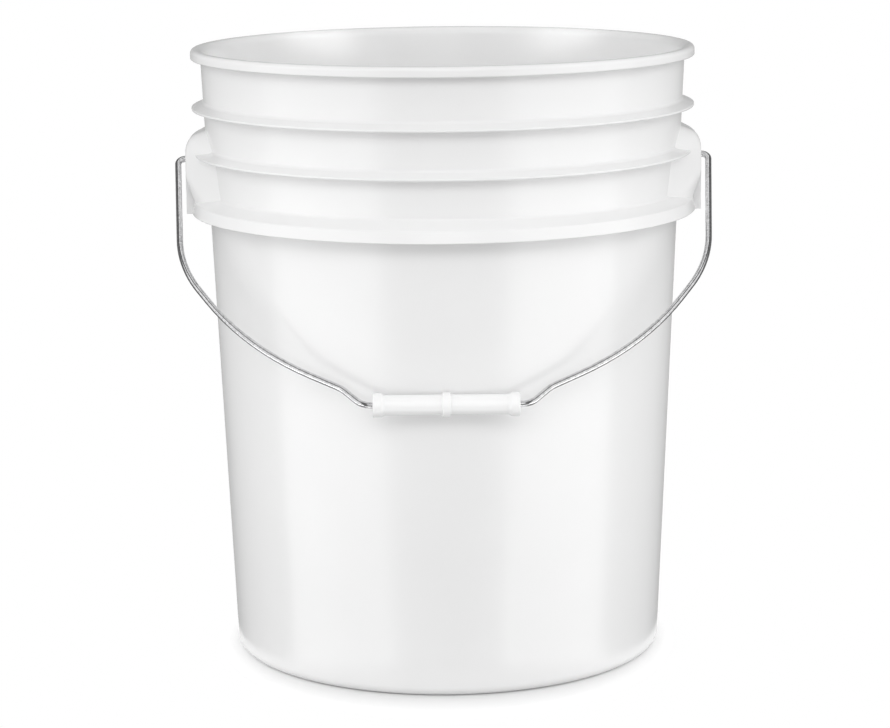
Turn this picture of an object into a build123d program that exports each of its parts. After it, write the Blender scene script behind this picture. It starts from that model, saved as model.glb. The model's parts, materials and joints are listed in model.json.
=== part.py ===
from build123d import *
from math import asin, atan, cos, degrees, hypot, radians, sin, tan
import os

# An open head pail in millimetres, standing on z = 0 with its axis along z.
# The wire bail swings about the x axis through the two ears and rests against the wall at -y.

# Wall and base
pail_height = 368.0
wall_top_radius = 145.4  # outside, level with the rim's lower edge
wall_bottom_radius = 130.2  # outside, carried down to the ground
wall_thickness = 2.3
floor_thickness = 2.5
base_corner_radius = 6.0
floor_corner = 4.0  # bevel inside the base
base_recess = 4.0  # height of the floor's underside over the foot ring
foot_ring_width = 11.2  # from the wall to the inner edge of the foot ring
gate_radius = 3.0  # moulding gate left on the underside
gate_height = 0.8

# Rim: a hooked lip, open underneath
rim_height = 6.0
rim_overhang = 6.0
rim_lip = 2.2
rim_roof = 3.0
rim_crown_radius = 2.6
rim_crest = 0.4  # flat left on top between the crown and the rounding into the mouth
corner_bevel_count = 3  # turned corners are this many narrow cones in a row, on the arc of the corner's radius

# Stiffening ribs, their flat lower faces measured down from the top of the rim
rib_drops = (63.6, 36.2)
rib_reach = 7.2
rib_tip = 1.4
rib_rise = 3.0  # the upper face climbs this far from the tip to the wall

# Skirt: a hollow flange that stands on the rim of the pail below when pails are nested
skirt_drop = 98.5
skirt_reach = 11.2
skirt_band = 7.2
skirt_flare = 1.7
skirt_rise = 4.6
skirt_thickness = 2.2

# Ears: tapered hollow housings for the ends of the bail, open at the bottom
pivot_drop = 67.5  # bail axis below the top of the rim
ear_plate = 2.5
ear_plate_half_width = 13.0
ear_plate_top = 14.2  # over the bail axis
ear_plate_corner = 9.0
ear_side_slope = 1.7  # growth of the half width towards the wall
ear_top_slope = 0.4
ear_corner_slope = 0.75
ear_wall = 2.3
ear_edge_radius = 6.0
tongue_overhang = 2.0  # the plate goes on down to this far below the skirt
tongue_half_width = 11.4
tongue_gap = 0.2  # between the skirt's edge and the plate that hangs outside it
notch_drop = 9.5  # upper end of the slanted notch below the bail axis
notch_inset = 2.0

# Bail: round wire. The rises of its bends are measured from the grip's axis back to the ears.
wire_diameter = 3.76
ear_hole_clearance = 0.3
leg_gap = 3.5  # between the plate and the leg beside it, at the bail axis
leg_lean = 5.5  # the legs close in by this much from the ears to the shoulders
bail_corner_radius = 4.0
hook_gap = 3.6
hook_length = 9.0
hook_radius = 4.5
bail_reach = 190.5
shoulder_rise = 104.0
shoulder_radius = 79.0
belly_rise = 42.0
belly_inset = 46.8  # from the leg at the bail axis
belly_radius = 174.0
neck_rise = 11.9
neck_radius = 18.0
throat_angle = 45.7
throat_radius = 12.0

# Grip: moulded sleeve that turns on the wire
grip_length = 83.4
grip_bore_clearance = 0.4
barrel_diameter = 11.8
collar_diameter = 14.0
collar_width = 4.7
collar_shoulder = 2.0
ring_diameter = 14.2
ring_width = 4.3
grip_end_chamfer = 0.9
throat_gap = 0.8  # end play between the grip and each bend of the wire
rest_gap = 0.3  # between the grip's ring and the wall it rests on

# Heights and radii that follow
rim_bottom = pail_height - rim_height
wall_taper = (wall_top_radius - wall_bottom_radius) / rim_bottom
skirt_bottom = pail_height - skirt_drop
skirt_shoulder = skirt_bottom + skirt_band
pivot_height = pail_height - pivot_drop
wire_radius = wire_diameter / 2


def wall_radius(height):
    return wall_bottom_radius + wall_taper * height


def inner_radius(height):
    return wall_radius(height) - wall_thickness * hypot(1, wall_taper)


rim_radius = wall_top_radius + rim_overhang
skirt_radius = wall_radius(skirt_bottom) + skirt_reach
skirt_top_radius = skirt_radius - skirt_flare
plate_inner_x = skirt_radius + tongue_gap
plate_x = plate_inner_x + ear_plate
ear_root_x = 2 * wall_radius(pivot_height) - plate_x  # well inside the wall
ear_root_half_width = ear_plate_half_width + ear_side_slope * (plate_x - ear_root_x)
tongue_bottom = skirt_bottom - tongue_overhang
open_bottom = skirt_bottom - skirt_band  # cuts through the ears start here, clear below them


def rib_corners(drop):
    low = pail_height - drop
    tip = wall_radius(low) + rib_reach
    top = low + rib_tip + rib_rise
    return [
        (wall_radius(low), low, 0),
        (tip, low, 0),
        (tip, low + rib_tip, 0),
        (wall_radius(top), top, 0),
    ]


def skirt_corners():
    top = skirt_shoulder + skirt_rise
    slope = skirt_rise / (skirt_top_radius - wall_radius(top))
    drop = skirt_thickness * hypot(1, slope)
    lip = skirt_top_radius - skirt_thickness
    roof_at_lip = skirt_shoulder + slope * skirt_thickness - drop
    return [
        (wall_radius(top - drop), top - drop, 0),
        (lip, roof_at_lip, 0),
        (skirt_radius - skirt_thickness, skirt_bottom, 0),
        (skirt_radius, skirt_bottom, 0),
        (skirt_top_radius, skirt_shoulder, 0),
        (wall_radius(top), top, 0),
    ]


def rim_corners():
    roof = pail_height - rim_roof
    lip = rim_radius - rim_lip
    lead_width = rim_radius - rim_crown_radius - rim_crest - inner_radius(pail_height)
    lead_radius = lead_width * tan(radians(90) / 2 + atan(wall_taper) / 2)
    return [
        (wall_radius(roof), roof, 0),
        (lip, roof, 0),
        (lip, rim_bottom, 0),
        (rim_radius, rim_bottom, 0),
        (rim_radius, pail_height, rim_crown_radius),
        (inner_radius(pail_height), pail_height, lead_radius),
    ]


def base_corners():
    foot = wall_bottom_radius - foot_ring_width
    step = foot - base_recess
    return [
        (0, base_recess - gate_height, 0),
        (gate_radius, base_recess - gate_height, 0),
        (gate_radius, base_recess, 0),
        (step, base_recess, 0),
        (foot, 0, 0),
        (wall_bottom_radius, 0, base_corner_radius),
    ]


def floor_corners():
    # The inside of the base keeps the floor's thickness over the 45 degree step of the foot ring
    foot = wall_bottom_radius - foot_ring_width
    shift = floor_thickness * (2**0.5 - 1)
    floor = base_recess + floor_thickness
    return [
        (inner_radius(floor_thickness + floor_corner), floor_thickness + floor_corner, 0),
        (inner_radius(floor_thickness) - floor_corner, floor_thickness, 0),
        (foot + shift, floor_thickness, 0),
        (foot - base_recess + shift, floor, 0),
        (0, floor, 0),
    ]


def bevelled(outline):
    points = []
    for edge in outline.order_edges():
        pieces = corner_bevel_count if edge.geom_type == GeomType.CIRCLE else 1
        points += [edge @ (k / pieces) for k in range(pieces)]
    return Polyline(*points, close=True)


def pail_section():
    corners = base_corners() + skirt_corners()
    for drop in rib_drops:
        corners += rib_corners(drop)
    corners += rim_corners() + floor_corners()
    points = [(radius, height) for radius, height, _ in corners]
    roundings = [rounding for _, _, rounding in corners]
    outline = bevelled(FilletPolyline(*points, radius=roundings, close=True))
    return Plane.YZ * make_face(outline)


def wall_core(shrink):
    # Everything inside the outer face of the wall, drawn in by shrink
    points = [
        (0, 0),
        (wall_radius(0) - shrink, 0),
        (wall_radius(rim_bottom) - shrink, rim_bottom),
        (0, rim_bottom),
    ]
    return revolve(Plane.YZ * make_face(Polyline(*points, close=True)), Axis.Z)


def ear_outline(x, side_inset, top_inset, bottom):
    out = plate_x - x
    half_width = ear_plate_half_width + ear_side_slope * out - side_inset
    top = pivot_height + ear_plate_top + ear_top_slope * out - top_inset
    corner = ear_plate_corner + ear_corner_slope * out - (side_inset + top_inset) / 2
    points = [(-half_width, bottom), (half_width, bottom), (half_width, top), (-half_width, top)]
    outline = FilletPolyline(*points, radius=[0, 0, corner, corner], close=True)
    return Plane.YZ.offset(x) * make_face(outline)


def ear_block():
    ends = [ear_outline(x, 0, 0, tongue_bottom) for x in (ear_root_x, plate_x)]
    block = loft(ends, ruled=True)
    rim_edges = block.faces().sort_by(Axis.X)[-1].edges().sort_by(Axis.Z)[1:]
    block = fillet(rim_edges, ear_edge_radius)
    return block - ear_notches() - wall_core(wall_thickness / 2)


def ear_notches():
    # Below the notch line only the plate's tongue stands outside the skirt
    far_x = plate_x + ear_plate
    deep_x = ear_root_x - ear_plate
    shoulder_x = skirt_top_radius - notch_inset
    points = [
        (deep_x, open_bottom),
        (deep_x, skirt_bottom),
        (shoulder_x, skirt_bottom),
        (shoulder_x, skirt_shoulder),
        (plate_x, pivot_height - notch_drop),
        (far_x, pivot_height - notch_drop),
        (far_x, open_bottom),
    ]
    side = Plane.XZ * make_face(Polyline(*points, close=True))
    back = extrude(side, -ear_root_half_width).translate((0, tongue_half_width, 0))
    return back + mirror(back, about=Plane.XZ)


def ear_pocket():
    side_inset = ear_wall * hypot(1, ear_side_slope)
    top_inset = ear_wall * hypot(1, ear_top_slope)
    ends = [ear_outline(x, side_inset, top_inset, open_bottom) for x in (ear_root_x, plate_inner_x)]
    return loft(ends, ruled=True) - wall_core(0)


def ear_hole():
    hole = Cylinder(wire_radius + ear_hole_clearance, 2 * ear_plate, rotation=(0, 90, 0))
    return hole.translate(((plate_inner_x + plate_x) / 2, 0, pivot_height))


def make_pail():
    block = ear_block()
    pocket = ear_pocket() + ear_hole()
    pail = revolve(pail_section(), Axis.Z)
    pail += block + mirror(block, about=Plane.YZ)
    return pail - pocket - mirror(pocket, about=Plane.YZ)


def rest_angle():
    # Angle from straight down at which the grip's ring meets the tapered wall
    lean = atan(wall_taper)
    stand_off = ring_diameter / 2 + rest_gap
    reach_needed = wall_radius(pivot_height) * cos(lean) + stand_off
    return asin(reach_needed / bail_reach) - lean


def bail_plane():
    angle = rest_angle()
    return Plane(origin=(0, 0, pivot_height), x_dir=(1, 0, 0), z_dir=(0, cos(angle), -sin(angle)))


def make_bail():
    leg_x = plate_x + leg_gap + wire_radius
    hook_x = plate_inner_x - hook_gap - wire_radius
    throat_x = grip_length / 2 + throat_gap + throat_radius * tan(radians(throat_angle) / 2)
    neck_x = throat_x + neck_rise / tan(radians(throat_angle))
    half = [
        (throat_x, bail_reach, throat_radius),
        (neck_x, bail_reach - neck_rise, neck_radius),
        (leg_x - belly_inset, bail_reach - belly_rise, belly_radius),
        (leg_x - leg_lean, bail_reach - shoulder_rise, shoulder_radius),
        (leg_x, 0, bail_corner_radius),
        (hook_x, 0, hook_radius),
        (hook_x, -hook_length, 0),
    ]
    bends = [(-x, s, radius) for x, s, radius in reversed(half)] + half
    points = [(x, s) for x, s, _ in bends]
    path = bail_plane() * FilletPolyline(*points, radius=[radius for _, _, radius in bends[1:-1]])
    section = Plane(origin=path @ 0, z_dir=path % 0) * Circle(wire_radius)
    return sweep(section, path=path)


def make_grip():
    half = grip_length / 2
    shoulder = half - collar_width - collar_shoulder
    right = [
        (ring_width / 2, ring_diameter / 2),
        (ring_width / 2, barrel_diameter / 2),
        (shoulder, barrel_diameter / 2),
        (shoulder + collar_shoulder, collar_diameter / 2),
        (half - grip_end_chamfer, collar_diameter / 2),
        (half, collar_diameter / 2 - grip_end_chamfer),
        (half, wire_radius + grip_bore_clearance),
    ]
    left = [(-x, radius) for x, radius in reversed(right)]
    section = make_face(Polyline(*left, *right, close=True))
    centre = bail_plane() * Location((0, bail_reach, 0))
    return centre * revolve(section, Axis.X)


os.makedirs("parts", exist_ok=True)
export_step(make_pail(), "parts/pail_body.step")
export_step(make_bail(), "parts/bail_wire.step")
export_step(make_grip(), "parts/bail_grip.step")
print("rest angle", round(degrees(rest_angle()), 2))
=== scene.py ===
import json
from math import atan, ceil, cos, pi, radians, sin, sqrt, tan

import bmesh
import bpy
from mathutils import Matrix, Vector


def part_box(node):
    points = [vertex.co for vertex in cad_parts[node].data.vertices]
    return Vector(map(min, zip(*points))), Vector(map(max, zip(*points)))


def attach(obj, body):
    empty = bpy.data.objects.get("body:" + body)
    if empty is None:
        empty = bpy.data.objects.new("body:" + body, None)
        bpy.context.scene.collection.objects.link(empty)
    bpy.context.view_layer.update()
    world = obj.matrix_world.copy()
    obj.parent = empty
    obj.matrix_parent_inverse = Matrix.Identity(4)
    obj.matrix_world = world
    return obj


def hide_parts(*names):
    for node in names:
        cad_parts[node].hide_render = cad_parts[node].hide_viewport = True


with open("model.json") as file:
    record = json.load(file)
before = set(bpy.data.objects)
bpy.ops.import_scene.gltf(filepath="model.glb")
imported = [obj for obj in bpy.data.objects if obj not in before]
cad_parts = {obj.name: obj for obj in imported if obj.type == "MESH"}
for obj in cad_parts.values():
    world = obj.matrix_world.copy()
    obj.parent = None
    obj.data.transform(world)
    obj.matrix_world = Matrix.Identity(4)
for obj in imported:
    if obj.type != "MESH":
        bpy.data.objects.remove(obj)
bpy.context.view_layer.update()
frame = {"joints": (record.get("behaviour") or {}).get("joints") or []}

scene = bpy.context.scene
mm = 0.001  # lengths below are in millimetres, meshes in metres
jointAt = {joint["name"]: Vector(joint["pos_m"]) / mm for joint in frame["joints"]}
bailAxis = jointAt["bail_swing"]
gripAxis = jointAt["grip_spin"]
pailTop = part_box("pail_body")[1] / mm
print("frame loaded, pail", [round(v) for v in pailTop], "bail axis at", round(bailAxis.z, 1))


def linear(hexColour):
    # sRGB hex to the linear colour that shaders take
    parts = [int(hexColour[i:i + 2], 16) / 255 for i in (1, 3, 5)]
    return tuple(p / 12.92 if p <= 0.04045 else ((p + 0.055) / 1.055) ** 2.4 for p in parts) + (1,)


def addNode(tree, kind, values=None, links=None, **settings):
    node = tree.nodes.new(kind)
    for name, value in settings.items():
        setattr(node, name, value)
    for socket, value in (values or {}).items():
        node.inputs[socket].default_value = value
    for socket, source in (links or {}).items():
        tree.links.new(source, node.inputs[socket])
    return node


def newMaterial(name):
    material = bpy.data.materials.new(name)
    material.use_nodes = True
    material.node_tree.nodes.clear()
    return material, material.node_tree


# meshes: outlines with rounded corners, skins of quads, and the pieces made from them
meshing = {"stepAngle": 10, "halvings": 40, "mergeGap": 0.002, "sliver": 0.001, "sharpAngle": 32}


def roundedLine(corners, stepAngle=meshing["stepAngle"]):
    # corners are (x, y, radius); each radius becomes an arc tangent to both sides
    points = []
    for i, (x, y, radius) in enumerate(corners):
        here = Vector((x, y))
        if radius == 0:
            points.append(here)
            continue
        back = (Vector(corners[i - 1][:2]) - here).normalized()
        onward = (Vector(corners[(i + 1) % len(corners)][:2]) - here).normalized()
        half = back.angle(onward) / 2
        centre = here + (back + onward).normalized() * (radius / sin(half))
        start = here + back * (radius / tan(half)) - centre
        end = here + onward * (radius / tan(half)) - centre
        turn = pi - 2 * half
        steps = max(2, ceil(turn / radians(stepAngle)))
        for k in range(steps + 1):
            t = k / steps
            points.append(centre + (start * sin((1 - t) * turn) + end * sin(t * turn)) / sin(turn))
    return points


def bothSides(half):
    # corners of a symmetric line, from its right half
    return [(-x, y, radius) for x, y, radius in reversed(half)] + half


def roundAngles(count):
    return [2 * pi * k / count for k in range(count)]


def lastWhere(holds, near, far):
    # the furthest value at which the test still holds, found by halving
    for _ in range(meshing["halvings"]):
        middle = (near + far) / 2
        if holds(middle):
            near = middle
        else:
            far = middle
    return near


def skin(bm, rows, closeRows=False, closePoints=False):
    grid = [[bm.verts.new(Vector(p) * mm) for p in row] for row in rows]
    for a, b in zip(grid, grid[1:] + (grid[:1] if closeRows else [])):
        for j in range(len(a) if closePoints else len(a) - 1):
            k = (j + 1) % len(a)
            bm.faces.new((a[j], a[k], b[k], b[j]))
    return grid


def makeObject(name, bm, material):
    mesh = bpy.data.meshes.new(name)
    bm.to_mesh(mesh)
    bm.free()
    mesh.materials.append(material)
    thing = bpy.data.objects.new(name, mesh)
    scene.collection.objects.link(thing)
    return thing


def makePiece(name, bm, material, body, node):
    bmesh.ops.remove_doubles(bm, verts=bm.verts, dist=meshing["mergeGap"] * mm)
    bmesh.ops.dissolve_degenerate(bm, edges=bm.edges, dist=meshing["sliver"] * mm)
    bmesh.ops.recalc_face_normals(bm, faces=bm.faces)
    piece = makeObject(name, bm, material)
    piece.data.shade_smooth()
    piece.data.set_sharp_from_angle(angle=radians(meshing["sharpAngle"]))
    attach(piece, body)
    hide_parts(node)
    print(name, "made with", len(piece.data.polygons), "faces")


# white HDPE, injection moulded: satin skin with a faint orange peel and slow flow marks down the wall
hdpe = {
    "white": "#E9E9E9", "shade": "#E5E5E5",
    "roughness": (0.2, 0.25), "ior": 1.54,
    "cloud": 45, "flow": 14, "flowLength": 160, "peel": 1.6,
    "detail": {"cloud": 3, "flow": 0, "peel": 2},
    "bump": {"Strength": 0.05, "Distance": 0.02 * mm},
}

# white LDPE, injection moulded: the same skin a little whiter, with small round flow marks
ldpe = {**hdpe, "white": "#EEEEEE", "shade": "#EAEAEA", "flow": 2, "flowLength": 2}

# drawn steel wire, hot dip galvanised: bright zinc with duller patches and dark grit,
# the grit drawn coarser than life so that it shows
zinc = {
    "bright": "#E9E9EA", "dull": "#D0D0D1", "dark": "#7C7D7E",
    "roughness": (0.09, 0.15),
    "patch": 2.2, "grit": 0.7,
    "detail": {"patch": 4, "grit": 3},
    "ramp": {"patch": (0.35, 0.65), "grit": (0.57, 0.74)},
    "bump": {"Strength": 0.05, "Distance": 0.05 * mm},
}


def closeMaterial(tree, look, fixed, colour, roughBy, bumpBy):
    low, high = look["roughness"]
    rough = addNode(tree, "ShaderNodeMapRange", {"To Min": low, "To Max": high}, {"Value": roughBy})
    bump = addNode(tree, "ShaderNodeBump", look["bump"], {"Height": bumpBy})
    shader = addNode(tree, "ShaderNodeBsdfPrincipled", fixed,
                     {"Base Color": colour.outputs["Result"], "Roughness": rough.outputs["Result"],
                      "Normal": bump.outputs["Normal"]})
    addNode(tree, "ShaderNodeOutputMaterial", links={"Surface": shader.outputs["BSDF"]})


def mouldedPlastic(name, look):
    material, tree = newMaterial(name)
    place = addNode(tree, "ShaderNodeTexCoord").outputs["Object"]
    stretch = (1, 1, look["flow"] / look["flowLength"])
    drawn = addNode(tree, "ShaderNodeMapping", {"Scale": stretch}, {"Vector": place}).outputs["Vector"]
    noise = {}
    for kind, where in (("cloud", place), ("flow", drawn), ("peel", place)):
        grain = {"Scale": 1 / (look[kind] * mm), "Detail": look["detail"][kind]}
        noise[kind] = addNode(tree, "ShaderNodeTexNoise", grain, {"Vector": where}).outputs["Fac"]
    whites = {"A": linear(look["white"]), "B": linear(look["shade"])}
    colour = addNode(tree, "ShaderNodeMix", whites, {"Factor": noise["cloud"]}, data_type="RGBA")
    closeMaterial(tree, look, {"IOR": look["ior"]}, colour, noise["flow"], noise["peel"])
    return material


def galvanisedSteel(name, look):
    material, tree = newMaterial(name)
    place = addNode(tree, "ShaderNodeTexCoord").outputs["Object"]
    noise = {}
    spots = {}
    for kind in ("patch", "grit"):
        grain = {"Scale": 1 / (look[kind] * mm), "Detail": look["detail"][kind]}
        noise[kind] = addNode(tree, "ShaderNodeTexNoise", grain, {"Vector": place}).outputs["Fac"]
        low, high = look["ramp"][kind]
        span = {"From Min": low, "From Max": high}
        ramp = addNode(tree, "ShaderNodeMapRange", span, {"Value": noise[kind]})
        spots[kind] = ramp.outputs["Result"]
    zincs = {"A": linear(look["bright"]), "B": linear(look["dull"])}
    patched = addNode(tree, "ShaderNodeMix", zincs, {"Factor": spots["patch"]}, data_type="RGBA")
    colour = addNode(tree, "ShaderNodeMix", {"B": linear(look["dark"])},
                     {"Factor": spots["grit"], "A": patched.outputs["Result"]}, data_type="RGBA")
    closeMaterial(tree, look, {"Metallic": 1}, colour, noise["patch"], noise["grit"])
    return material


pailWhite = mouldedPlastic("moulded_white_HDPE", hdpe)
gripWhite = mouldedPlastic("moulded_white_LDPE", ldpe)
wireZinc = galvanisedSteel("galvanised_steel_wire", zinc)
print("materials ready")


# pail: wall, floor and rim turned as one outline, then the ribs, the skirt and the ears
pail = {
    "wallTop": 145.4, "wallBottom": 130.2, "wall": 2.3, "floor": 2.5,
    "rimHeight": 6, "rimOut": 6, "rimLip": 2.2, "rimRoof": 3, "rimCrown": 2.5, "rimLead": 5,
    "baseCorner": 6, "baseRecess": 4, "recessRound": 1.5, "footRing": 11.2, "footRound": 1.2,
    "gate": (3, 0.8), "gateRound": 0.3,
    "ribDrops": (63.6, 36.2), "ribReach": 7.2, "ribTip": 1.4, "ribRise": 3,
    "skirtDrop": 98.5, "skirtReach": 11.2, "skirtBand": 7.2, "skirtFlare": 1.7, "skirtRise": 4.6,
    "skirtThick": 2.2, "skirtRound": 1,
    "tip": 0.55, "root": 0.8, "cove": 2.6, "coveRun": 3, "sunk": 1,
    "turns": 288,
}
height = pailTop.z
rimBottom = height - pail["rimHeight"]
taper = (pail["wallTop"] - pail["wallBottom"]) / rimBottom
skirtBottom = height - pail["skirtDrop"]


def wallAt(z):
    return pail["wallBottom"] + taper * z


def innerAt(z):
    return wallAt(z) - pail["wall"] * sqrt(1 + taper ** 2)


def shellOutline():
    foot = pail["wallBottom"] - pail["footRing"]
    recess = pail["baseRecess"]
    gateRadius, gateHeight = pail["gate"]
    floor = recess + pail["floor"]
    shift = pail["floor"] * (sqrt(2) - 1)  # keeps the slope beside the recess as thick as the floor
    rim = pail["wallTop"] + pail["rimOut"]
    lip = rim - pail["rimLip"]
    roof = height - pail["rimRoof"]
    return roundedLine([
        (0, recess - gateHeight, 0),
        (gateRadius, recess - gateHeight, pail["gateRound"]),
        (gateRadius, recess, pail["gateRound"]),
        (foot - recess, recess, pail["recessRound"]),
        (foot, 0, pail["footRound"]),
        (pail["wallBottom"], 0, pail["baseCorner"]),
        (wallAt(roof), roof, pail["root"]),
        (lip, roof, pail["root"]),
        (lip, rimBottom, pail["tip"]),
        (rim, rimBottom, pail["root"]),
        (rim, height, pail["rimCrown"]),
        (innerAt(height), height, pail["rimLead"]),
        (innerAt(pail["floor"]), pail["floor"], pail["baseCorner"] - pail["wall"]),
        (foot + shift, pail["floor"], pail["footRound"]),
        (foot - recess + shift, floor, pail["recessRound"]),
        (0, floor, 0),
    ])


def coveEnd(top):
    # how a rib or the skirt ends: a cove against the wall, then up and into the wall
    inside = top + pail["coveRun"] * pail["cove"]  # coveRun counts cove radii
    return [
        (wallAt(top), top, pail["cove"]),
        (wallAt(inside) - pail["sunk"] / 2, inside, 0),
        (wallAt(inside) - pail["sunk"], inside, 0),
    ]


def ribOutline(drop):
    low = height - drop
    tip = wallAt(low) + pail["ribReach"]
    top = low + pail["ribTip"] + pail["ribRise"]
    return roundedLine([
        (wallAt(low) - pail["sunk"], low, 0),
        (tip, low, pail["tip"]),
        (tip, low + pail["ribTip"], pail["tip"]),
    ] + coveEnd(top))


def skirtOutline():
    edge = wallAt(skirtBottom) + pail["skirtReach"]
    shoulder = edge - pail["skirtFlare"]
    shoulderZ = skirtBottom + pail["skirtBand"]
    top = shoulderZ + pail["skirtRise"]
    slope = pail["skirtRise"] / (shoulder - wallAt(top))
    under = pail["skirtThick"] * sqrt(1 + slope ** 2)
    return roundedLine([
        (wallAt(top) - pail["sunk"], top - under + slope * pail["sunk"], 0),
        (shoulder - pail["skirtThick"], shoulderZ + slope * pail["skirtThick"] - under, pail["root"]),
        (edge - pail["skirtThick"], skirtBottom, pail["tip"]),
        (edge, skirtBottom, pail["tip"]),
        (shoulder, shoulderZ, pail["skirtRound"]),
    ] + coveEnd(top))


def turnFull(bm, outline):
    rows = [[(r * cos(a), r * sin(a), z) for r, z in outline] for a in roundAngles(pail["turns"])]
    skin(bm, rows, closeRows=True, closePoints=True)


# ears: a hollow housing lofted from the plate back to the wall, open underneath
ear = {
    "plate": 2.5, "halfWidth": 13, "top": 13.4, "corner": 9,
    "sideSlope": 1.7, "topSlope": 0.46, "cornerSlope": 0.75,
    "wall": 2.3, "sideEdge": 4, "topEdge": 11, "notchDrop": 9.5, "notchInset": 2,
    "tongueBelow": 0.8, "tongueHalf": 12.8, "web": 2, "webInset": 0.2, "hole": 2.18,
    "blend": 1.6, "blendSink": 0.05, "tail": 0.8, "sunk": 0.5, "probe": 0.5, "deepest": 40,
    "sideRows": 8, "cornerRows": 10, "topRows": 8,
    "edgeSteps": 8, "sideSteps": 10, "blendSteps": 5, "holeSteps": 16,
}
plateX = pailTop.x
earTop = bailAxis.z + ear["top"]
notchTop = bailAxis.z - ear["notchDrop"]
tongueBottom = skirtBottom - ear["tongueBelow"]
skirtEdge = wallAt(skirtBottom) + pail["skirtReach"]
skirtShoulder = skirtBottom + pail["skirtBand"]
notchX = skirtEdge - pail["skirtFlare"] - ear["notchInset"]
notchSlope = (notchTop - skirtShoulder) / (plateX - notchX)
sideInset = ear["wall"] * sqrt(1 + ear["sideSlope"] ** 2)
topInset = ear["wall"] * sqrt(1 + ear["topSlope"] ** 2)


def earEdgeInset(depth, slope, radius):
    # how far the rounded plate edge lies inside the sharp one, at a depth behind the plate's face
    turn = atan(1 / slope)
    if depth >= radius * (1 - cos(turn)):
        return 0
    return slope * depth + radius * tan(turn / 2) - sqrt(radius ** 2 - (radius - depth) ** 2)


def earOutline(depth, inSide, inTop):
    half = ear["halfWidth"] + ear["sideSlope"] * depth - inSide
    top = earTop + ear["topSlope"] * depth - inTop
    corner = ear["corner"] + ear["cornerSlope"] * depth - (inSide + inTop) / 2
    return half, top, corner


def earPoint(station, depth, inSide, inTop):
    # station is (kind, fraction, side): up the side, round the corner, then along the top to the middle
    kind, t, side = station
    half, top, corner = earOutline(depth, inSide, inTop)
    if kind == "side":
        low = max(skirtBottom, notchTop - notchSlope * depth)
        y, z = half, low + t * (top - corner - low)
    elif kind == "corner":
        y, z = half - corner + corner * cos(t * pi / 2), top - corner + corner * sin(t * pi / 2)
    else:
        y, z = (1 - t) * (half - corner), top
    return Vector((plateX - depth, side * y, z))


def depthAtWall(pointAt):
    def clearOfWall(depth):
        p = pointAt(depth)
        return sqrt(p.x ** 2 + p.y ** 2) > wallAt(p.z)
    return lastWhere(clearOfWall, ear["topEdge"] / 2, ear["deepest"])


def outerEarColumn(station):
    # from the flat of the plate over its rounded edge, down the side and out into the wall
    def pointAt(depth):
        inSide = earEdgeInset(depth, ear["sideSlope"], ear["sideEdge"])
        inTop = earEdgeInset(depth, ear["topSlope"], ear["topEdge"])
        return earPoint(station, depth, inSide, inTop)
    edgeTurn = atan(1 / ear["topSlope"])
    edgeTurns = [edgeTurn * k / ear["edgeSteps"] for k in range(ear["edgeSteps"] + 1)]
    depths = [ear["topEdge"] * (1 - cos(turn)) for turn in edgeTurns]
    column = [pointAt(d) for d in depths]
    wallDepth = depthAtWall(pointAt)
    meet = pointAt(wallDepth)
    along = (meet - pointAt(wallDepth - ear["probe"])).normalized()
    normal = Vector((meet.x, meet.y, -taper * sqrt(meet.x ** 2 + meet.y ** 2))).normalized()
    outward = (along - normal * along.dot(normal)).normalized()
    reach = ear["blend"] * tan(along.angle(outward) / 2)
    start = meet - along * reach
    end = meet + outward * reach - normal * ear["blendSink"]
    lastDepth = wallDepth - reach * (wallDepth - depths[-1]) / (meet - column[-1]).length
    for k in range(1, ear["sideSteps"]):
        column.append(pointAt(depths[-1] + (lastDepth - depths[-1]) * k / ear["sideSteps"]))
    for k in range(ear["blendSteps"] + 1):
        t = k / ear["blendSteps"]
        column.append(start * (1 - t) ** 2 + meet * 2 * t * (1 - t) + end * t ** 2)
    column.append(end + outward * ear["tail"] - normal * ear["sunk"])
    return column


def innerEarColumn(station, count):
    def pointAt(depth):
        return earPoint(station, depth, sideInset, topInset)
    wallDepth = depthAtWall(pointAt) + ear["sunk"]
    return [pointAt(ear["plate"] + (wallDepth - ear["plate"]) * k / (count - 1)) for k in range(count)]


def plateFace(bm, edgeVerts, x, halfFlat):
    # the flat of the plate in two halves that meet at the hole, with the tongue below
    steps = ear["holeSteps"]
    ring = []
    for k in range(2 * steps):
        angle = pi * k / steps
        p = Vector((x, ear["hole"] * sin(angle), bailAxis.z + ear["hole"] * cos(angle)))
        ring.append(bm.verts.new(p * mm))
    foot = [bm.verts.new(Vector((x, y, tongueBottom)) * mm) for y in (halfFlat, 0, -halfFlat)]
    middle = len(edgeVerts) // 2
    front = [ring[0]] + edgeVerts[middle::-1] + [foot[0], foot[1]] + ring[steps:0:-1]
    back = [ring[steps], foot[1], foot[2]] + edgeVerts[:middle - 1:-1] + [ring[0]] + ring[:steps:-1]
    bm.faces.new(front)
    bm.faces.new(back)
    return ring, foot


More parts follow.
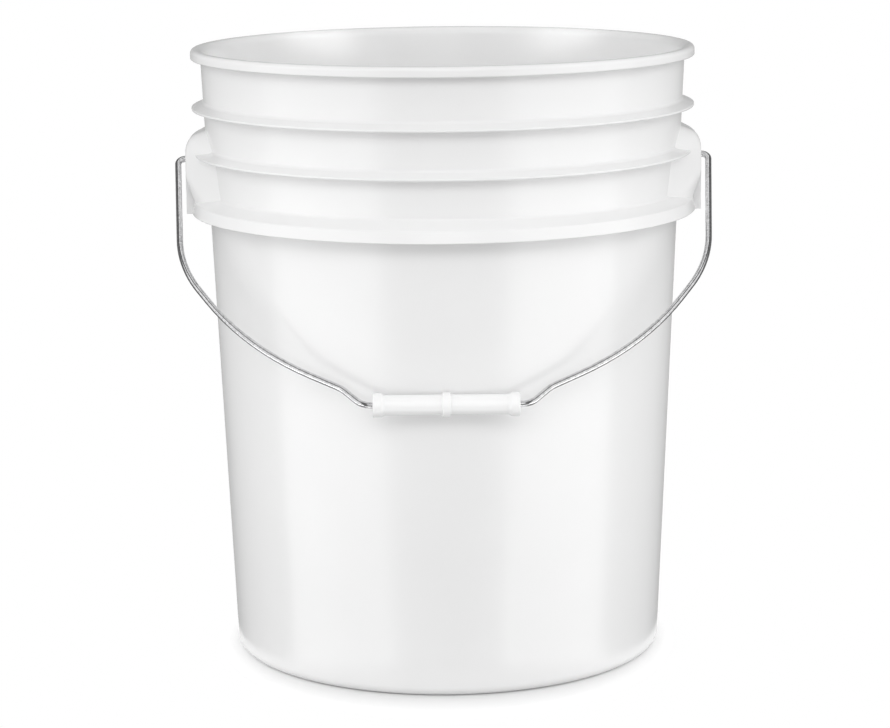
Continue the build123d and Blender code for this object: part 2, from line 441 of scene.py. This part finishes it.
def makeEar(bm, mirror):
    first = len(bm.verts)
    stations = [("side", k / ear["sideRows"], 1) for k in range(ear["sideRows"])]
    stations += [("corner", k / ear["cornerRows"], 1) for k in range(ear["cornerRows"])]
    stations += [("top", k / ear["topRows"], 1) for k in range(ear["topRows"] + 1)]
    stations += [(kind, t, -1) for kind, t, _ in reversed(stations[:-1])]
    outerColumns = [outerEarColumn(s) for s in stations]
    count = len(outerColumns[0])
    outer = skin(bm, outerColumns)
    inner = skin(bm, [innerEarColumn(s, count) for s in stations])
    for k in range(len(stations) - 1):
        bm.faces.new((outer[k][-1], outer[k + 1][-1], inner[k + 1][-1], inner[k][-1]))
    for end in (0, -1):
        for k in range(count - 1):
            bm.faces.new((outer[end][k], outer[end][k + 1], inner[end][k + 1], inner[end][k]))
    outerEdge = [column[0] for column in outer]
    innerEdge = [column[0] for column in inner]
    outRing, outFoot = plateFace(bm, outerEdge, plateX, outerColumns[0][0].y)
    inRing, inFoot = plateFace(bm, innerEdge, plateX - ear["plate"], ear["tongueHalf"])
    for k in range(len(outRing)):
        n = (k + 1) % len(outRing)
        bm.faces.new((outRing[k], outRing[n], inRing[n], inRing[k]))
    for k in (0, 1):
        bm.faces.new((outFoot[k], outFoot[k + 1], inFoot[k + 1], inFoot[k]))
    for end in (0, -1):
        bm.faces.new((outerEdge[end], outFoot[end], inFoot[end], innerEdge[end]))
    if mirror:
        bm.verts.ensure_lookup_table()
        for vert in bm.verts[first:]:
            vert.co.x = -vert.co.x


def makeWebs(bm):
    # upright gussets behind the tongue's edges, from the plate back to the wall
    root = wallAt(skirtBottom) - pail["sunk"]
    face = plateX - ear["webInset"]
    outline = [
        (root, skirtBottom),
        (skirtEdge - pail["skirtThick"], tongueBottom),
        (face, tongueBottom),
        (face, notchTop),
        (notchX, skirtShoulder),
        (root, skirtShoulder),
    ]
    faces = (ear["tongueHalf"] - ear["web"], ear["tongueHalf"])
    for across in (1, -1):
        for side in (1, -1):
            rows = [[(across * x, side * y, z) for x, z in outline] for y in faces]
            grid = skin(bm, rows, closePoints=True)
            bm.faces.new(grid[0])
            bm.faces.new(grid[1])


def ringEnd(r, z):
    # angle from the x axis at which a ring runs into the middle of the ear's side wall
    def withinEar(angle):
        half, top, corner = earOutline(plateX - r * cos(angle), sideInset / 2, topInset / 2)
        over = max(0, z - (top - corner))
        width = half - corner + sqrt(max(0, corner ** 2 - over ** 2))
        return r * sin(angle) < width
    return lastWhere(withinEar, 0, pi / 4)


def turnBetweenEars(bm, outline):
    steps = pail["turns"] // 2
    ends = [ringEnd(r, z) for r, z in outline]
    for side in (1, -1):
        rows = []
        for k in range(steps + 1):
            angles = [end + (pi - 2 * end) * k / steps for end in ends]
            rows.append([(r * cos(a), side * r * sin(a), z) for a, (r, z) in zip(angles, outline)])
        grid = skin(bm, rows, closePoints=True)
        bm.faces.new(grid[0])
        bm.faces.new(grid[-1])


def makePail():
    bm = bmesh.new()
    lowerRib, upperRib = pail["ribDrops"]
    turnFull(bm, shellOutline())
    turnFull(bm, ribOutline(upperRib))
    turnBetweenEars(bm, ribOutline(lowerRib))
    turnBetweenEars(bm, skirtOutline())
    makeEar(bm, False)
    makeEar(bm, True)
    makeWebs(bm)
    makePiece("pail_shell", bm, pailWhite, "pail", "pail_body")


makePail()


# bail: one bent wire, drawn flat and laid in the plane of the bail
bail = {
    "diameter": 3.74, "sides": 24, "stepAngle": 3,
    "legGap": 3.5, "legLean": 5.5, "legBend": 4, "hookGap": 3.6, "hookBend": 4.5, "hookLength": 9,
    "shoulder": (104, 79), "belly": (42, 46.8, 174), "neck": (11.9, 18), "throat": (45.7, 12),
    "endPlay": 0.8, "gripHalf": 41.7, "endBevel": 0.4,
}


def bailLine():
    radius = bail["diameter"] / 2
    reach = (gripAxis - bailAxis).length
    legX = plateX + bail["legGap"] + radius
    hookX = plateX - ear["plate"] - bail["hookGap"] - radius
    throatAngle, throatBend = bail["throat"]
    turn = radians(throatAngle)
    throatX = bail["gripHalf"] + bail["endPlay"] + throatBend * tan(turn / 2)
    neckRise, neckBend = bail["neck"]
    bellyRise, bellyInset, bellyBend = bail["belly"]
    shoulderRise, shoulderBend = bail["shoulder"]
    half = [
        (throatX, reach, throatBend),
        (throatX + neckRise / tan(turn), reach - neckRise, neckBend),
        (legX - bellyInset, reach - bellyRise, bellyBend),
        (legX - bail["legLean"], reach - shoulderRise, shoulderBend),
        (legX, 0, bail["legBend"]),
        (hookX, 0, bail["hookBend"]),
        (hookX, -bail["hookLength"], 0),
    ]
    return roundedLine(bothSides(half), bail["stepAngle"])


def makeBail():
    bm = bmesh.new()
    down = (gripAxis - bailAxis).normalized()
    across = Vector((1, 0, 0))
    facing = across.cross(down)
    path = [bailAxis + across * x + down * s for x, s in bailLine()]
    radius = bail["diameter"] / 2
    bevel = bail["endBevel"]
    angles = roundAngles(bail["sides"])
    last = len(path) - 1
    rows = []
    for i, p in enumerate(path):
        tangent = (path[min(i + 1, last)] - path[max(i - 1, 0)]).normalized()
        side = tangent.cross(facing)
        sizes = [(0, radius)]
        if i == 0:
            sizes = [(0, radius - bevel), (bevel, radius)]
        elif i == last:
            sizes = [(-bevel, radius), (0, radius - bevel)]
        for shift, r in sizes:
            rows.append([p + tangent * shift + (facing * cos(a) + side * sin(a)) * r for a in angles])
    grid = skin(bm, rows, closePoints=True)
    bm.faces.new(grid[0])
    bm.faces.new(grid[-1])
    makePiece("bail_wire_bent", bm, wireZinc, "bail", "bail_wire")


makeBail()


# grip: moulded sleeve with a collar at each end and a ring in the middle
grip = {
    "half": bail["gripHalf"], "bore": 2.28, "barrel": 5.9,
    "collar": 7, "collarWidth": 4.7, "collarSlope": 2,
    "ring": 7.1, "ringWidth": 4.3, "ringSlope": 0.4, "endRound": 0.9, "edgeRound": 0.5,
    "turns": 72, "stepAngle": 15, "seam": 0.12,
}


def makeGrip():
    bm = bmesh.new()
    half = grip["half"]
    edge = grip["edgeRound"]
    seam = grip["seam"]
    ringHalf = grip["ringWidth"] / 2
    shoulder = half - grip["collarWidth"] - grip["collarSlope"]
    right = [
        (ringHalf, grip["ring"], edge),
        (ringHalf + grip["ringSlope"], grip["barrel"], edge),
        (shoulder, grip["barrel"], edge),
        (shoulder + grip["collarSlope"], grip["collar"], edge),
        (half, grip["collar"], grip["endRound"]),
        (half, grip["bore"], edge),
    ]
    outline = roundedLine(bothSides(right), grip["stepAngle"])
    rows = []
    for k, angle in enumerate(roundAngles(grip["turns"])):
        raised = seam if k in (0, grip["turns"] // 2) else 0  # line where the mould halves met
        row = []
        for x, r in outline:
            if r > grip["barrel"] - edge:
                r = r - seam + raised
            row.append(gripAxis + Vector((x, r * sin(angle), r * cos(angle))))
        rows.append(row)
    skin(bm, rows, closeRows=True, closePoints=True)
    makePiece("bail_grip_sleeve", bm, gripWhite, "grip", "bail_grip")


makeGrip()


# studio: an oval white table in an even room light, its glow dimmed round the pail's base as a painted
# shadow, soft boxes that light the object, shine boxes that only its gloss mirrors, and a grey wall all
# round that only its gloss mirrors too
studio = {
    "floorHalf": (140, 170), "floorGrey": "#E0E0E0", "floorSides": 128,
    "paintedShadowInner": (132, 0.06), "paintedShadowOuter": (168, 0.34),  # distance from the middle, front to back, and glow; the lower glow near the pail is a painted shadow round its base
    "roomWhite": "#FFFFFF", "roomLight": 0.56, "roomSeen": 1,
    "wallGrey": "#7C7C7C", "wallRadius": 2000, "wallFrom": -5000, "wallTo": 7000, "wallSides": 64,
    "spread": 180,
    "boxes": {
        "left_shine": {"turn": -60, "away": 1500, "height": 880, "size": (1732, 1960), "watts": 9},
        "right_shine": {"turn": 60, "away": 1500, "height": 880, "size": (1732, 1960), "watts": 9},
        "left_shine_low": {"turn": -60, "away": 1500, "height": -550, "size": (1732, 900), "watts": 8.8},
        "right_shine_low": {"turn": 60, "away": 1500, "height": -550, "size": (1732, 900), "watts": 8.8},
        "front_shine": {"turn": 0, "away": 1950, "height": 1600, "size": (2190, 2400), "watts": 14},
        "front_shine_low": {"turn": 0, "away": 1500, "height": -1530, "size": (2190, 1730), "watts": 18},
        "left_soft": {"turn": -75, "away": 1440, "height": 700, "size": (1732, 2100), "watts": 14.4},
        "right_soft": {"turn": 75, "away": 1440, "height": 700, "size": (1732, 2100), "watts": 14.9},
        "front_soft": {"turn": 0, "away": 1700, "height": 1500, "size": (2190, 900), "watts": 15},
        "low_soft": {"turn": 0, "away": 1300, "height": 170, "size": (1800, 300), "watts": 0.22,
                     "spread": 20},
        "back_soft": {"turn": 180, "away": 1600, "height": 500, "size": (2400, 1500), "watts": 14},
        "inside_soft": {"turn": 0, "away": 0, "height": 1900, "size": (120, 120), "watts": 0.16,
                        "spread": 7, "aim": (0, 0, 0)},
        "left_inside_soft": {"turn": -4, "away": 1300, "height": 880, "size": (40, 8), "watts": 0.0006,
                             "spread": 1.2, "aim": (-80, 119, 364)},
        "right_inside_soft": {"turn": 4, "away": 1300, "height": 880, "size": (40, 8), "watts": 0.0006,
                              "spread": 1.2, "aim": (81, 119, 364)},
    },
}


def seenItself(tree):
    # 1 for the rays that show the background itself: seen, mirrored or through glass
    rays = addNode(tree, "ShaderNodeLightPath")
    seen = rays.outputs["Is Camera Ray"]
    for kind in ("Is Glossy Ray", "Is Transmission Ray"):
        either = {0: seen, 1: rays.outputs[kind]}
        seen = addNode(tree, "ShaderNodeMath", links=either, operation="MAXIMUM").outputs["Value"]
    return seen


def makeFloor():
    material, tree = newMaterial("white_paper_with_painted_shadow")
    seen = seenItself(tree)
    place = addNode(tree, "ShaderNodeTexCoord").outputs["Object"]
    halfWidth, halfDepth = studio["floorHalf"]
    stretch = halfDepth / halfWidth
    oval = addNode(tree, "ShaderNodeMapping", {"Scale": (stretch, 1, 1)}, {"Vector": place})
    away = addNode(tree, "ShaderNodeVectorMath", links={0: oval.outputs["Vector"]}, operation="LENGTH")
    # the glow is dimmer towards the pail's base: a painted shadow round the base, seen by the camera and
    # in gloss, on top of the real shadow on the lit paper
    near, glowInPaintedShadow = studio["paintedShadowInner"]
    far, glowPastPaintedShadow = studio["paintedShadowOuter"]
    paintedShadowFade = {"From Min": near * mm, "From Max": far * mm, "To Min": glowInPaintedShadow, "To Max": glowPastPaintedShadow}
    spread = addNode(tree, "ShaderNodeMapRange", paintedShadowFade, {"Value": away.outputs["Value"]})
    glow = addNode(tree, "ShaderNodeMath", links={0: seen, 1: spread.outputs["Result"]},
                   operation="MULTIPLY")
    lit = addNode(tree, "ShaderNodeBsdfDiffuse", {"Color": linear(studio["floorGrey"])})
    shine = addNode(tree, "ShaderNodeEmission", links={"Strength": glow.outputs["Value"]})
    both = addNode(tree, "ShaderNodeAddShader",
                   links={0: lit.outputs["BSDF"], 1: shine.outputs["Emission"]})
    addNode(tree, "ShaderNodeOutputMaterial", links={"Surface": both.outputs["Shader"]})
    bm = bmesh.new()
    deeper = Matrix.Diagonal((1, stretch, 1, 1))
    bmesh.ops.create_circle(bm, cap_ends=True, segments=studio["floorSides"], radius=halfWidth * mm,
                            matrix=deeper)
    floor = makeObject("floor", bm, material)


def makeWall():
    # out of the camera's sight, it darkens what the pail's edges and the wire mirror
    material, tree = newMaterial("grey_studio_wall")
    paint = addNode(tree, "ShaderNodeBsdfDiffuse", {"Color": linear(studio["wallGrey"])})
    addNode(tree, "ShaderNodeOutputMaterial", links={"Surface": paint.outputs["BSDF"]})
    bm = bmesh.new()
    radius = studio["wallRadius"]
    around = [(radius * sin(a), radius * cos(a)) for a in roundAngles(studio["wallSides"])]
    levels = (studio["wallFrom"], studio["wallTo"])
    skin(bm, [[(x, y, z) for x, y in around] for z in levels], closePoints=True)
    wall = makeObject("studio_wall", bm, material)
    wall.visible_camera = False
    wall.visible_diffuse = False
    wall.visible_shadow = False


def makeWorld():
    world = bpy.data.worlds.new("studio")
    scene.world = world
    world.use_nodes = True
    tree = world.node_tree
    tree.nodes.clear()
    levels = {"To Min": studio["roomLight"], "To Max": studio["roomSeen"]}
    strength = addNode(tree, "ShaderNodeMapRange", levels, {"Value": seenItself(tree)})
    back = addNode(tree, "ShaderNodeBackground", {"Color": linear(studio["roomWhite"])},
                   {"Strength": strength.outputs["Result"]})
    addNode(tree, "ShaderNodeOutputWorld", links={"Surface": back.outputs["Background"]})


def makeSoftBoxes():
    for name, look in studio["boxes"].items():
        lamp = bpy.data.lights.new(name, "AREA")
        lamp.shape = "RECTANGLE"
        lamp.size, lamp.size_y = (v * mm for v in look["size"])
        lamp.energy = look["watts"]
        lamp.spread = radians(look.get("spread", studio["spread"]))
        box = bpy.data.objects.new(name, lamp)
        box.visible_camera = False
        box.visible_diffuse = "soft" in name
        box.visible_glossy = "shine" in name
        angle = radians(look["turn"])
        place = Vector((sin(angle), -cos(angle), 0)) * look["away"]
        place.z = look["height"]
        aim = Vector(look.get("aim", (0, 0, look["height"])))
        box.location = place * mm
        box.rotation_euler = (aim - place).to_track_quat("-Z", "Y").to_euler()
        scene.collection.objects.link(box)


# camera: where the photograph was taken from
view = {
    "place": (-5.69, -1723.1, 507.5), "down": 11.012, "turn": 0.182, "roll": 0.575,
    "lens": 115.43, "sensor": 36,
}


def makeCamera():
    down, turn, roll = (radians(view[k]) for k in ("down", "turn", "roll"))
    ahead = Vector((sin(turn) * cos(down), cos(turn) * cos(down), -sin(down)))
    level = Vector((cos(turn), -sin(turn), 0))
    upright = level.cross(ahead)
    right = level * cos(roll) - upright * sin(roll)
    up = level * sin(roll) + upright * cos(roll)
    lens = bpy.data.cameras.new("camera")
    lens.lens = view["lens"]
    lens.sensor_width = view["sensor"]
    camera = bpy.data.objects.new("camera", lens)
    axes = Matrix((right, up, -ahead)).transposed().to_4x4()
    camera.matrix_world = Matrix.Translation(Vector(view["place"]) * mm) @ axes
    scene.collection.objects.link(camera)
    scene.camera = camera


makeFloor()
makeWall()
makeWorld()
makeSoftBoxes()
makeCamera()
scene.view_settings.view_transform = "Standard"
print("studio ready")
